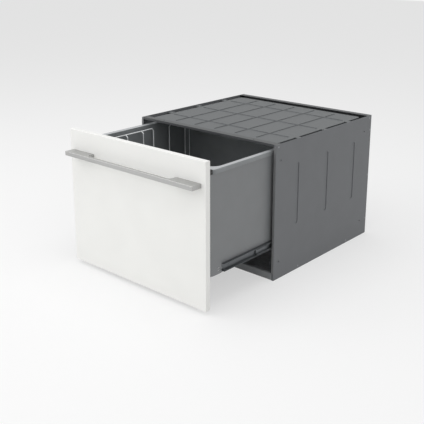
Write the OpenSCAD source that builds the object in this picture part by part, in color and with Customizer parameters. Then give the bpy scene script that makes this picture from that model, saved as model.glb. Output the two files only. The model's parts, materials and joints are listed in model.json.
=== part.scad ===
// Dishwasher drawer: a built-in chassis with a washing tub that pulls out on
// telescopic ball runners, behind a flat cabinet-style front with a bar handle.
// Millimetres. X runs across the front, Y from the front to the back, Z up.
// The origin is the centre of the chassis underside, which stands on the shelf.
// The drawer is drawn pulled out by open_d.

/* [Chassis] */
// Width over the chassis sides
chassis_w = 599; // [590:1:620]
// Depth of the chassis
chassis_d = 573; // [560:1:600]
// Height of the chassis
chassis_h = 454; // [450:1:480]
// Thickness of the chassis sheet steel
sheet = 1.2; // [0.8:0.1:1.5]
// Width of the front edge of each chassis side
front_flange = 8.5; // [7:0.5:9]
// Height of the front rail of the base
rail_h = 23.5; // [18:0.5:28]
// Depth of the front rail of the base
rail_d = 14; // [10:1:20]
// Height of the brace above the drawer opening
brace_h = 8; // [6:0.5:9]
// Depth of the two braces on top of the chassis
brace_d = 23; // [16:1:24]
// Radius of the four fixing holes in each chassis side
fixing_hole_r = 2.6; // [2:0.1:4]
// Distance between the worktop fixing holes in the front brace
worktop_hole_gap = 400; // [300:10:480]

/* [Drawer position] */
// How far the drawer front stands out from the chassis
open_d = 303; // [200:1:420]
// Gap behind the drawer front when it is shut
shut_gap = 2; // [1.7:0.1:4]

/* [Front panel] */
// Width of the front panel
panel_w = 596; // [590:1:600]
// Height of the front panel
panel_h = 457; // [445:1:470]
// Thickness of the front panel
panel_t = 19; // [16:1:22]
// Height of the panel's lower edge above the chassis base
panel_lift = 13; // [8:1:20]
// Width of the panel's broken edges
panel_edge = 1; // [0.5:0.1:2]

/* [Handle] */
// Length of the handle
handle_w = 562; // [400:1:580]
// Height of the handle bar
handle_h = 14; // [10:0.5:20]
// Thickness of the bar between its feet
handle_t = 11; // [8:0.5:14]
// How far the handle stands out from the panel
handle_reach = 37.5; // [30:0.5:45]
// Length of each handle foot
handle_foot = 98; // [60:1:120]
// Distance from the panel's top edge to the handle's top face
handle_drop = 66; // [40:1:90]
// Radius in the two inner corners of the finger gap
handle_corner_r = 12; // [6:1:14]
// Width of the handle's broken edges
handle_edge = 0.8; // [0.4:0.1:1.5]

/* [Tub] */
// Width over the tub walls
tub_w = 534; // [520:1:536]
// Depth over the tub walls
tub_d = 470; // [430:1:472]
// Room for the lid between the tub rim and the top of the chassis
lid_room = 23; // [23:1:30]
// Height of the underside of the tub floor
floor_z = 137; // [130:1:140]
// Thickness of the tub moulding
tub_wall = 3; // [2.5:0.1:3.5]
// Inside radius of the upright corners
tub_corner_r = 37; // [25:1:45]
// Outside radius where the walls meet the floor
tub_floor_r = 24; // [15:1:24]
// How far the rim reaches out past the walls
rim_reach = 16.5; // [15.5:0.1:16.5]
// Height of the lip that hangs from the rim
lip_h = 12; // [8:0.5:16]
// Thickness of the lip
lip_t = 2.5; // [2:0.1:3]
// Outside radius of the sump
sump_r = 108; // [106:1:116]
// Depth of the sump below the tub floor
sump_depth = 28; // [24:1:29]

/* [Drawer body] */
// Space between the front panel and the tub rim
front_depth = 31; // [29:0.5:36]
// Thickness of the side skins
skin_t = 1.5; // [1:0.1:2]
// Height of the lowest point of the side skins
skin_foot_z = 104; // [100:1:106]

/* [Runners] */
// Length of each runner member
runner_len = 470; // [420:10:470]
// Height of the drawer channel
channel_h = 25; // [24:0.5:26]
// Height of the middle of the runners above the chassis base
runner_z = 121.5; // [120:0.5:123]
// Thickness of the runner steel
runner_t = 1.4; // [1.2:0.1:1.4]
// Diameter of the balls
ball_d = 3; // [2.8:0.1:3]
// Number of balls in each row
ball_count = 6; // [4:1:7]

/* [Lid] */
// How far the lid drops onto the rim
lid_travel = 7.2; // [6:0.1:7.5]
// Thickness of the lid plate
lid_t = 2.5; // [2:0.1:3]
// Height of the rubber seal
seal_h = 4.5; // [3:0.1:5]
// Width of the rubber seal
seal_w = 10; // [8:0.5:12]

/* [Racks] */
// Diameter of the coated rack wire
wire_d = 4; // [3.5:0.1:4.2]
// Diameter of the coated tine wire
tine_d = 3.5; // [3:0.1:3.6]
// Length of the tines for large plates
tine_large = 65; // [50:1:70]
// Length of the tines for small plates
tine_small = 50; // [40:1:52]
// Distance between tines
tine_pitch = 28; // [26:1:32]
// Depth of the racks
rack_d = 440; // [400:1:440]
// Height of the rack wires above the chassis base
rack_z = 186; // [185:0.5:190]
// How far the side hoops' top wire lies below the tub rim
hoop_drop = 13; // [12:1:50]
// Width of the folding cup shelves
cup_shelf_w = 86; // [70:1:88]
// Height of the cup shelf hinge
cup_shelf_z = 333; // [320:1:335]

/* [Spray arm] */
// Reach of the spray arm from its hub
arm_reach = 222; // [180:1:224]
// Radius of the pin that the arm turns on
hub_pin_r = 9; // [8:0.5:10]

/* [Fits] */
// Gap between a turning pin and its bore
running_gap = 0.06; // [0.05:0.01:0.08]
// Gap round a button
button_gap = 0.25; // [0.2:0.05:0.3]
// Gap between pieces that only lie against each other
seat_gap = 0.1; // [0.05:0.05:0.2]

/* [Hidden] */

// Facets of true circles
fine = 64;
small = 32;
// A little more than any wall, so that a cut runs clear through it
cut = 1;

// Places of the chassis
side_x = chassis_w/2;
wall_x = side_x - sheet;
front_y = -chassis_d/2;
back_y = chassis_d/2;
pan_edge_h = 18;
hole_low_z = 60;
hole_high_z = chassis_h - 54;
hole_front_y = front_y + 26;
hole_back_y = back_y - 46;

// Places of the drawer, pulled out
rim_z = chassis_h - lid_room;
shut_travel = open_d - shut_gap;
drawer_y = front_y - open_d;
panel_y = drawer_y - panel_t;
panel_top = panel_lift + panel_h;
rim_x = tub_w/2 + rim_reach;
tub_y0 = drawer_y + front_depth + rim_reach;
tub_yc = tub_y0 + tub_d/2;
tub_in_d = tub_d - 2*tub_wall;
floor_top = floor_z + tub_wall;
lip_in_x = rim_x - lip_t;
skin_gap = 0.8;
skin_out_x = lip_in_x - skin_gap;
skin_in_x = skin_out_x - skin_t;
bracket_t = 2;
inner_front_y = drawer_y + bracket_t;
inner_front_back = inner_front_y + sheet;

// Runner sections, measured outwards from the side skin
channel_x = skin_out_x;
channel_low = runner_z - channel_h/2;
open_x = side_x - front_flange - 0.5;
channel_in = channel_h/2 - runner_t;
groove_r = ball_d/2 + 0.1;
ball_rise = 1;
ball_z_drawer = channel_in - ball_rise;
middle_half = ball_z_drawer - ball_rise;
middle_x = channel_x + 3.2;
ball_z_chassis = middle_half - runner_t - ball_rise;
rail_half = ball_z_chassis - ball_rise;
rail_x = middle_x + 2.8;
rail_web_x = wall_x - 5.3;
ball_x_drawer = middle_x + 3.6;
ball_x_chassis = rail_x + 2.4;
// The middle member starts behind the stop at the channel's front
stop_room = 6.5;
cage_t = 0.6;
cage_len = 200;
runner_y = front_y + shut_gap + 67;
ball_pitch = (cage_len - 20)/(ball_count - 1);
rivet_r = 2.15;
rivet_ys = [30, runner_len/2, runner_len - 30];

// Lid heights, lid raised
lid_low = rim_z + 0.3 + lid_travel;
lid_skirt_z = lid_low + seal_h;
lid_x = rim_x - 6.5;
lid_y0 = front_y + shut_gap + front_depth - 0.5;
lid_y1 = lid_y0 + tub_d + 2*rim_reach - 3;
lid_top = chassis_h - 1.5;
ear_t = 3.5;
ear_z = lid_top - 5;
ear_ys = [-150, 150];
guide_x = rim_x + 2.5;
guide_low = rim_z - 21;
pin_x = guide_x + 6;
pin_r = 3;
plunger_r = 2.5;
plunger_drop = 26;

// Sump, hub and racks
sump_z = floor_z - sump_depth;
hub_z = floor_top + 18;
// The spray arm rests on the hub and caps its pin, whose snap head turns in a recess
arm_z = hub_z + 0.3;
arm_boss_h = 16;
arm_crown = 2;
snap_h = 3;
snap_r = hub_pin_r + 1.2;
snap_z = arm_z + arm_boss_h - arm_crown - 1.2 - snap_h;
rack_out = 250;
kink = 10;
kink_drop = 7;
kink_ys = [-104, -30, 180];
upright_x = rack_out - kink;
cross_margin = 24;
wire_r = wire_d/2;
tine_r = tine_d/2;
upright_r = wire_r - 0.25;
shelf_pin_x = -upright_x + 6;
shelf_clip_ys = [kink_ys[0], kink_ys[1]];
cross_z = rack_z;
long_z = cross_z - wire_d - seat_gap;
long_wires = 5;
// Cross wires of the rack floors, front to back
cross_ys = [for (i = [0:6]) (i - 3)*(rack_d - 2*cross_margin)/6];
// What stands on a long wire starts here
weld_z = long_z + wire_r + seat_gap;
hoop_z = rim_z - hoop_drop;
hoop_corner = 8;
hoop_spans = [[6 - rack_d/2, 28], [108, rack_d/2 - 6]];
inner_rail_z = rack_z + 54.5;
shaft_z = rack_z + wire_d + 0.3;
ledge_z = long_z - wire_r - 0.2;
clip_gap = 0.12;

// Controls
fascia_x = 262;
fascia_low = rim_z - 13.6;
fascia_top = rim_z + 2.5;
fascia_y0 = inner_front_back + seat_gap;
fascia_y1 = drawer_y + front_depth - 1;
fascia_wall = 2;
button_xs = [-200, -60, 200];
button_r = 5;
button_rise = 1;
button_y = (fascia_y0 + fascia_y1)/2;
board_z = fascia_low + 3.6;
board_t = 1.6;
lens_xs = [-30, 60];

// Dispenser in the front wall of the tub
disp_x = 30;
disp_w = 116;
disp_h = 80;
disp_z = rim_z - 131;
disp_lid_w = 62;
disp_lid_h = 62;
disp_lid_x = disp_x - 24;
disp_lid_t = 2.5;
disp_pin_r = 2;
disp_face_y = tub_y0 + tub_wall;
disp_flange = 2;
disp_pin_y = disp_face_y + disp_flange + 4.2;
disp_pin_z = disp_z + 6;
rinse_x = disp_x + 36;
rinse_z = disp_z + 48;

// ---------------------------------------------------------------- shapes

// Box between two corners
module block(low, high) {
    translate(low) cube([high[0] - low[0], high[1] - low[1], high[2] - low[2]]);
}

// Rectangle with its corners cut off at 45 degrees, centred
module cut_rect(w, d, edge) {
    polygon([for (s = [[1, 1], [-1, 1], [-1, -1], [1, -1]], k = s[0]*s[1] > 0 ? [0, 1] : [1, 0])
        [s[0]*(w/2 - edge*k), s[1]*(d/2 - edge*(1 - k))]]);
}

// Box between two corners with every edge broken at 45 degrees
module broken_block(low, high, edge) {
    size = high - low;
    translate((low + high)/2) intersection() {
        linear_extrude(size[2], center = true) cut_rect(size[0], size[1], edge);
        rotate([90, 0, 0]) linear_extrude(size[1], center = true) cut_rect(size[0], size[2], edge);
        rotate([90, 0, 90]) linear_extrude(size[0], center = true) cut_rect(size[1], size[2], edge);
    }
}

// Rectangle with round corners, centred
module round_rect(w, d, r) {
    square([w - 2*r, d], center = true);
    square([w, d - 2*r], center = true);
    for (x = [-1, 1], y = [-1, 1])
        translate([x*(w/2 - r), y*(d/2 - r)]) circle(r = r, $fn = fine);
}

// Upright plate with round corners between two heights
module round_plate(w, d, r, z0, z1) {
    translate([0, 0, z0]) linear_extrude(z1 - z0) round_rect(w, d, r);
}

// Slot shape along X, centred
module slot(length, r) {
    square([length - 2*r, 2*r], center = true);
    for (x = [-1, 1]) translate([x*(length/2 - r), 0]) circle(r = r, $fn = small);
}

// Rod from one point along an axis
module rod_x(p, length, r, f = small) {
    translate(p) rotate([0, 90, 0]) cylinder(r = r, h = length, $fn = f);
}
module rod_y(p, length, r, f = small) {
    translate(p) rotate([-90, 0, 0]) cylinder(r = r, h = length, $fn = f);
}
module rod_z(p, length, r, f = small) {
    translate(p) cylinder(r = r, h = length, $fn = f);
}

// The same piece on the right, or mirrored to the left
module on_side(side) {
    if (side > 0) children();
    else mirror([1, 0, 0]) children();
}

// ---------------------------------------------------------------- chassis

// Shape of one pressed bead in a chassis side
module bead(r, depth) {
    linear_extrude(depth) rotate(90) slot(210, r);
}

module chassis_side(side) {
    bead_depth = 2;
    bead_r = 9;
    bead_ys = [-170, 0, 170];
    bead_z = chassis_h - 184;
    on_side(side) difference() {
        union() {
            block([wall_x, front_y, 0], [side_x, back_y, chassis_h]);
            block([side_x - front_flange, front_y, 0], [side_x, front_y + sheet, chassis_h]);
            for (y = bead_ys) translate([wall_x - bead_depth, y, bead_z]) rotate([90, 0, 90])
                bead(bead_r + sheet, bead_depth + sheet/2);
        }
        for (y = bead_ys) translate([wall_x - bead_depth + sheet, y, bead_z]) rotate([90, 0, 90])
            bead(bead_r, bead_depth + cut);
        for (y = [hole_front_y, hole_back_y], z = [hole_low_z, hole_high_z])
            rod_x([wall_x - cut, y, z], sheet + 2*cut, fixing_hole_r);
        screw_holes();
    }
}

// Countersunk screws through each chassis side: [y, z]
side_screws = [[front_y + sheet + 12, chassis_h - 9], [back_y - 12, chassis_h - 9],
               [back_y - 6, 60], [back_y - 6, 230], [back_y - 6, chassis_h - 54], [-150, 9], [150, 9]];
screw_r = 1.6;
screw_head_r = 3;
screw_head_h = 1;

module screw_holes(grow = 0.1) {
    for (at = side_screws) {
        rod_x([wall_x - 2*sheet, at[0], at[1]], 3*sheet, screw_r + grow);
        translate([side_x - screw_head_h - grow, at[0], at[1]]) rotate([0, 90, 0])
            cylinder(r1 = screw_r + grow, r2 = screw_head_r + grow, h = screw_head_h + grow, $fn = small);
    }
}

module chassis_side_left() color("#6f7174") chassis_side(-1);
module chassis_side_right() color("#6f7174") chassis_side(1);

// Back sheet with its two edges folded forwards, louvres and service openings
module chassis_back() color("#77797b") {
    edge = 10;
    louvre_w = 60;
    louvre_z = chassis_h - 154;
    difference() {
        union() {
            block([-wall_x + seat_gap, back_y - sheet, sheet], [wall_x - seat_gap, back_y, chassis_h - brace_d]);
            for (s = [-1, 1]) on_side(s)
                block([wall_x - seat_gap - sheet, back_y - edge, sheet + pan_edge_h + 1],
                      [wall_x - seat_gap, back_y, chassis_h - brace_d]);
        }
        for (s = [-1, 1]) on_side(s) screw_holes();
        for (i = [0:5], x = [-120, 0, 120]) translate([x, back_y - sheet - cut, louvre_z + 14*i])
            rotate([-90, 0, 0]) linear_extrude(sheet + 2*cut) slot(louvre_w, 2);
        rod_y([valve_x, back_y - sheet - cut, valve_z], sheet + 2*cut, valve_r + 2, fine);
        rod_y([drain_x, back_y - sheet - cut, valve_z], sheet + 2*cut, drain_r + 3.5, fine);
        rod_y([gland_x, back_y - sheet - cut, valve_z], sheet + 2*cut, gland_r + seat_gap, fine);
    }
}

// Drip tray that closes the bottom
module base_pan() color("#8b8d8f") {
    y0 = front_y + sheet + rail_d + seat_gap;
    y1 = back_y - sheet - seat_gap;
    x = wall_x - seat_gap;
    bead_h = 2;
    bead_xs = [-210, -70, 70, 210];
    difference() {
        union() {
            block([-x, y0, 0], [x, y1, sheet]);
            for (s = [-1, 1]) on_side(s) block([x - sheet, y0, 0], [x, y1, pan_edge_h]);
            block([-x, y1 - sheet, 0], [x, y1, pan_edge_h]);
            for (bx = bead_xs) translate([bx, (y0 + y1)/2, 0]) linear_extrude(sheet + bead_h)
                rotate(90) slot(380, 12);
        }
        for (s = [-1, 1]) on_side(s) screw_holes();
        for (bx = bead_xs) translate([bx, (y0 + y1)/2, -cut]) linear_extrude(bead_h + cut)
            rotate(90) slot(380 - 2*sheet, 12 - sheet);
    }
}

// Folded rail across the front of the base
module base_front_rail() color("#737577") {
    x = wall_x - seat_gap;
    lip_r = 2;
    translate([-x, front_y + sheet, 0]) rotate([90, 0, 90]) linear_extrude(2*x) {
        square([rail_d, sheet]);
        square([sheet, rail_h - lip_r]);
        translate([lip_r, rail_h - sheet]) square([rail_d - lip_r, sheet]);
        translate([rail_d - sheet, rail_h - 7]) square([sheet, 7]);
        translate([lip_r, rail_h - lip_r]) difference() {
            intersection() {
                circle(r = lip_r, $fn = fine);
                translate([-lip_r, 0]) square(lip_r);
            }
            circle(r = lip_r - sheet, $fn = fine);
        }
    }
}

// Folded brace across the top: front lip, top sheet and two end tabs
module brace(y0, dir, lip) {
    x = wall_x - seat_gap;
    tab = 16;
    y_low = dir > 0 ? y0 : y0 - brace_d;
    lip_y = dir > 0 ? y0 : y0 - sheet;
    block([-x, y_low, chassis_h - sheet], [x, y_low + brace_d, chassis_h]);
    block([-x, lip_y, chassis_h - lip], [x, lip_y + sheet, chassis_h]);
    for (s = [-1, 1]) on_side(s)
        block([x - sheet, y_low, chassis_h - tab], [x, y_low + brace_d, chassis_h]);
}

module top_brace_front() color("#4c4e50") difference() {
    union() {
        brace(front_y + sheet, 1, brace_h);
        block([-wall_x + seat_gap, front_y + brace_d, chassis_h - 6],
              [wall_x - seat_gap, front_y + sheet + brace_d, chassis_h]);
    }
    for (s = [-1, 1]) on_side(s) screw_holes();
    for (s = [-1, 1]) rod_z([s*worktop_hole_gap/2, front_y + sheet + brace_d/2, chassis_h - sheet - cut],
                            sheet + 2*cut, fixing_hole_r);
}

module top_brace_rear() color("#4c4e50") difference() {
    brace(back_y, -1, brace_d);
    for (s = [-1, 1]) on_side(s) screw_holes();
}

// Soft strips on the two front edges of the chassis
module front_trims() color("#77787a") {
    trim_t = 1.4;
    for (s = [-1, 1]) on_side(s) translate([0, 0, rail_h]) linear_extrude(chassis_h - rail_h - brace_h)
        translate([side_x - front_flange/2, front_y - trim_t/2 - seat_gap/2]) {
            square([front_flange - trim_t, trim_t], center = true);
            for (e = [-1, 1]) translate([e*(front_flange - trim_t)/2, 0]) circle(r = trim_t/2, $fn = small);
        }
}

// Countersunk screws that hold the sides to the braces, the back and the pan
module chassis_screws() color("silver") {
    inner = wall_x - seat_gap - sheet - 1.4;
    for (s = [-1, 1]) on_side(s) for (at = side_screws) difference() {
        union() {
            rod_x([inner, at[0], at[1]], side_x - screw_head_h - inner, screw_r);
            translate([side_x - screw_head_h, at[0], at[1]]) rotate([0, 90, 0])
                cylinder(r1 = screw_r, r2 = screw_head_r, h = screw_head_h - 0.05, $fn = small);
        }
        rod_x([side_x - 0.7, at[0], at[1]], 2, 1.1, 6);
    }
}

// ---------------------------------------------------------------- water and power

valve_x = 200;
valve_z = 62;
valve_r = 13.2;
drain_x = -200;
drain_r = 10;
gland_x = -110;
gland_r = 9;
service_y = back_y - 34;

// Solenoid valve with a threaded water connection
module inlet_valve() color("#e8e8e2") {
    difference() {
        union() {
            rod_y([valve_x, service_y, valve_z], back_y - service_y, valve_r, fine);
            for (i = [0:4]) rod_y([valve_x, back_y - 13.5 + 2.8*i, valve_z], 1.2, valve_r + 0.8, fine);
            rod_y([valve_x, service_y - 2, valve_z], 5, valve_r + 3.4, 6);
            block([valve_x - 11, service_y + 3, sheet + 0.1], [valve_x + 11, service_y + 15, valve_z]);
        }
        rod_y([valve_x, service_y + 8, valve_z], 60, valve_r - 4, fine);
    }
    rod_z([valve_x, service_y + 9, valve_z], 30, 10);
    rod_z([valve_x, service_y + 9, valve_z + 30], 9, 14);
}

// Drain connection: bracket and ribbed spigot
module drain_outlet() color("#3c3e40") difference() {
    union() {
        rod_y([drain_x, service_y, valve_z], back_y - service_y, drain_r, fine);
        for (i = [0:2]) translate([drain_x, back_y - 12 + 4*i, valve_z]) rotate([-90, 0, 0])
            cylinder(r1 = drain_r + 1.2, r2 = drain_r, h = 3, $fn = fine);
        rod_y([drain_x, service_y - 3, valve_z], 8, drain_r + 5, fine);
        block([drain_x - 16, service_y - 3, sheet + 0.1], [drain_x + 16, service_y + 1, valve_z]);
        block([drain_x - 16, service_y - 3, sheet + 0.1], [drain_x + 16, service_y + 16, sheet + 4]);
    }
    rod_y([drain_x, service_y + 6, valve_z], 60, drain_r - 2.5, fine);
}

// Strain relief for the power cable, in the back sheet
module cable_gland() color("#2c2d2f") difference() {
    union() {
        rod_y([gland_x, back_y - 14, valve_z], 14, gland_r, fine);
        rod_y([gland_x, back_y - sheet - 4.1, valve_z], 4, gland_r + 4, 6);
        translate([gland_x, back_y - 20, valve_z]) rotate([-90, 0, 0])
            cylinder(r1 = gland_r - 2.5, r2 = gland_r - 0.5, h = 6, $fn = fine);
    }
    rod_y([gland_x, back_y - 24, valve_z], 30, cable_hole_r, fine);
}
cable_hole_r = 4;

// ---------------------------------------------------------------- lid

// Blocks on the chassis sides in which the lid's pins slide
module lid_guides() color("#c9cacb") {
    for (s = [-1, 1], y = ear_ys) on_side(s) difference() {
        union() {
            block([guide_x, y - 11, guide_low], [wall_x - seat_gap, y + 11, ear_z - lid_travel - 0.6]);
            block([wall_x - 4, y - 17, guide_low + 4], [wall_x - seat_gap, y + 17, ear_z - lid_travel - 6]);
        }
        rod_z([pin_x, y, guide_low - cut], 60, pin_r + 0.15);
    }
}

// Wax actuator that lowers one side of the lid
module lid_actuator(side) on_side(side) {
    nose_h = 10;
    body_h = 36;
    top = ear_z - lid_travel - 4 - nose_h;
    difference() {
        union() {
            block([guide_x, -28, top - body_h], [wall_x - seat_gap, 28, top]);
            rod_z([pin_x, 0, top], nose_h, 5.8);
            block([wall_x - 3, -38, top - body_h + 6], [wall_x - seat_gap, 38, top - body_h + 18]);
        }
        rod_z([pin_x, 0, ear_z - plunger_drop - lid_travel - 1], plunger_drop + 10, plunger_r + 0.2);
    }
}
module lid_actuator_left() color("#d9d8d2") lid_actuator(-1);
module lid_actuator_right() color("#d9d8d2") lid_actuator(1);

// Lid plate with a skirt, stiffening ribs, and ears with its guide pins
module lid() color("#55585a") {
    skirt_t = 3;
    lid_w = 2*lid_x;
    lid_d = lid_y1 - lid_y0;
    corner = 14;
    translate([0, (lid_y0 + lid_y1)/2, 0]) {
        round_plate(lid_w, lid_d, corner, lid_top - 3 - lid_t, lid_top - 3);
        difference() {
            round_plate(lid_w, lid_d, corner, lid_skirt_z, lid_top - 3);
            round_plate(lid_w - 2*skirt_t, lid_d - 2*skirt_t, corner - skirt_t, lid_skirt_z - cut, lid_top - 4);
        }
        difference() {
            round_plate(lid_w, lid_d, corner, lid_skirt_z, lid_skirt_z + 1.5);
            round_plate(lid_w - 2*seal_w - 4, lid_d - 2*seal_w - 4, corner, lid_skirt_z - cut, lid_top - 4);
        }
        for (x = [-180, -90, 0, 90, 180])
            translate([x - 2, -lid_d/2 + 20, lid_top - 4]) cube([4, lid_d - 40, 3]);
        for (y = [-160, 0, 160])
            translate([-lid_w/2 + 20, y - 2, lid_top - 4]) cube([lid_w - 40, 4, 3]);
    }
    for (s = [-1, 1]) on_side(s) {
        for (y = [ear_ys[0], 0, ear_ys[1]])
            block([lid_x - skirt_t, y - 9, ear_z], [pin_x + 5, y + 9, ear_z + ear_t]);
        for (y = ear_ys) rod_z([pin_x, y, guide_low + lid_travel + 4], ear_z - guide_low - lid_travel, pin_r);
        rod_z([pin_x, 0, ear_z - plunger_drop], plunger_drop + 2, plunger_r);
    }
}

// Hollow rubber seal under the lid's edge
module lid_seal() color("#2f3032") {
    lid_w = 2*lid_x;
    lid_d = lid_y1 - lid_y0;
    corner = 14;
    translate([0, (lid_y0 + lid_y1)/2, 0]) difference() {
        union() {
            round_plate(lid_w, lid_d, corner, lid_low + 1.5, lid_skirt_z);
            round_plate(lid_w - 4, lid_d - 4, corner - 2, lid_low, lid_low + 1.5);
        }
        round_plate(lid_w - 2*seal_w, lid_d - 2*seal_w, corner - 4, lid_low - cut, lid_skirt_z + cut);
    }
}

// ---------------------------------------------------------------- runners

// C section along Y: web at x0, flanges reach x1, inside half height h
module c_section(x0, x1, h, web_first) {
    t = runner_t;
    translate([x0, -h - t]) square([x1 - x0, t]);
    translate([x0, h]) square([x1 - x0, t]);
    translate([web_first ? x0 : x1 - t, -h - t]) square([t, 2*(h + t)]);
}

// Draws a section, given as X and Z, along Y from y0
module along_y(y0, length) {
    translate([0, y0 + length, runner_z]) rotate([90, 0, 0]) linear_extrude(length) children();
}

// Two ball grooves, above and below the middle
module grooves(x, z, y0, length) {
    for (s = [-1, 1]) rod_y([x, y0 - cut, runner_z + s*z], length + 2*cut, groove_r);
}

module drawer_channel(side) on_side(side) {
    y0 = runner_y - shut_travel;
    difference() {
        union() {
            along_y(y0, runner_len) c_section(channel_x, open_x, channel_in, true);
            block([channel_x, y0 + 1.5, runner_z - channel_in], [open_x - 3, y0 + 4.5, runner_z - channel_in + 4]);
        }
        grooves(ball_x_drawer, ball_z_drawer, y0, runner_len);
        for (y = rivet_ys) rod_x([channel_x - cut, y0 + y, runner_z], 6, rivet_r + 0.05);
    }
    for (y = rivet_ys) rod_x([channel_x, y0 + y, runner_z], runner_t + 0.4, rivet_r);
}
module drawer_channel_left() color("#8d8f91") drawer_channel(-1);
module drawer_channel_right() color("#8d8f91") drawer_channel(1);

module runner_middle(side) on_side(side) {
    y0 = runner_y + stop_room - shut_travel/2;
    length = runner_len - stop_room;
    difference() {
        along_y(y0, length) c_section(middle_x, open_x, middle_half - runner_t, true);
        grooves(ball_x_drawer, ball_z_drawer, y0, length);
        grooves(ball_x_chassis, ball_z_chassis, y0, length);
    }
}
module runner_middle_left() color("#a6a8aa") runner_middle(-1);
module runner_middle_right() color("#a6a8aa") runner_middle(1);

module chassis_rail(side) on_side(side) {
    tab_d = 30;
    difference() {
        along_y(runner_y, runner_len) c_section(rail_x, rail_web_x + runner_t, rail_half - runner_t, false);
        grooves(ball_x_chassis, ball_z_chassis, runner_y, runner_len);
    }
    for (y = [20, runner_len/2 - tab_d/2, runner_len - 20 - tab_d])
        block([rail_web_x + runner_t, runner_y + y, runner_z - rail_half],
              [wall_x - seat_gap, runner_y + y + tab_d, runner_z + rail_half]);
}
module chassis_rail_left() color("#8d8f91") chassis_rail(-1);
module chassis_rail_right() color("#8d8f91") chassis_rail(1);

// Pressed cage with two rows of balls
module ball_cage(side, web_x, ball_x, ball_z, shift) on_side(side) {
    y0 = runner_y + (runner_len - cage_len)/2 - shift;
    flange_x = ball_x + ball_d/2 + 0.6;
    difference() {
        union() {
            block([web_x, y0, runner_z - ball_z - cage_t/2], [web_x + cage_t, y0 + cage_len, runner_z + ball_z + cage_t/2]);
            for (s = [-1, 1]) block([web_x, y0, runner_z + s*ball_z - cage_t/2],
                                    [flange_x, y0 + cage_len, runner_z + s*ball_z + cage_t/2]);
        }
        for (s = [-1, 1], i = [0:ball_count - 1])
            rod_z([ball_x, y0 + 10 + ball_pitch*i, runner_z + s*ball_z - 1], 2, ball_d/2 + 0.08);
    }
    for (s = [-1, 1], i = [0:ball_count - 1])
        translate([ball_x, y0 + 10 + ball_pitch*i, runner_z + s*ball_z]) sphere(d = ball_d, $fn = small);
}
cage_x_drawer = channel_x + runner_t + 0.6;
cage_x_chassis = middle_x + runner_t + 0.4;
module ball_cage_drawer_left() color("#b9bbbd")
    ball_cage(-1, cage_x_drawer, ball_x_drawer, ball_z_drawer, 0.75*shut_travel);
module ball_cage_drawer_right() color("#b9bbbd")
    ball_cage(1, cage_x_drawer, ball_x_drawer, ball_z_drawer, 0.75*shut_travel);
module ball_cage_chassis_left() color("#b9bbbd")
    ball_cage(-1, cage_x_chassis, ball_x_chassis, ball_z_chassis, 0.25*shut_travel);
module ball_cage_chassis_right() color("#b9bbbd")
    ball_cage(1, cage_x_chassis, ball_x_chassis, ball_z_chassis, 0.25*shut_travel);

// ---------------------------------------------------------------- tub

// Wall section from the corner centre outwards: wall, floor bend and floor edge
module wall_section() {
    r_out = tub_corner_r + tub_wall;
    bend = tub_floor_r;
    height = rim_z - floor_z - 1;
    difference() {
        union() {
            square([r_out - bend, tub_wall]);
            translate([tub_corner_r, bend]) square([tub_wall, height - bend]);
            translate([r_out - bend, bend]) intersection() {
                circle(r = bend, $fn = fine);
                translate([0, -bend]) square(bend);
            }
        }
        translate([r_out - bend, bend]) intersection() {
            circle(r = bend - tub_wall, $fn = fine);
            translate([0, -bend]) square(bend);
        }
    }
}

module tub_shell() {
    r_out = tub_corner_r + tub_wall;
    difference() {
        union() {
            for (k = [0:3]) rotate(90*k) {
                a = k % 2 == 0 ? tub_w : tub_d;
                b = k % 2 == 0 ? tub_d : tub_w;
                translate([a/2 - r_out, b/2 - r_out, 0]) {
                    rotate_extrude(angle = 90, $fn = fine) wall_section();
                    rotate([90, 0, 0]) linear_extrude(b - 2*r_out) wall_section();
                }
            }
            translate([r_out - tub_w/2, r_out - tub_d/2, 0]) cube([tub_w - 2*r_out, tub_d - 2*r_out, tub_wall]);
        }
        translate([0, 0, -cut]) cylinder(r = sump_r - tub_wall, h = tub_wall + 2*cut, $fn = fine);
    }
}

// Flat rim with a stepped edge and a lip that hangs down round it
module tub_rim() {
    w = 2*rim_x;
    d = tub_d + 2*rim_reach;
    edge_r = 12;
    step = 1.5;
    difference() {
        union() {
            round_plate(w - 4, d - 4, edge_r - 2, rim_z - step, rim_z);
            round_plate(w, d, edge_r, rim_z - lip_h, rim_z - step);
        }
        round_plate(w - 2*lip_t, d - 2*lip_t, edge_r - lip_t, rim_z - lip_h - cut, rim_z - tub_wall);
        round_plate(tub_w - 2*tub_wall, tub_in_d, tub_corner_r, rim_z - tub_wall - cut, rim_z + cut);
    }
}

module sump_cup() {
    rotate_extrude($fn = fine) difference() {
        square([sump_r, sump_depth + tub_wall]);
        translate([0, tub_wall]) square([sump_r - tub_wall, sump_depth + cut]);
    }
}

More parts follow.
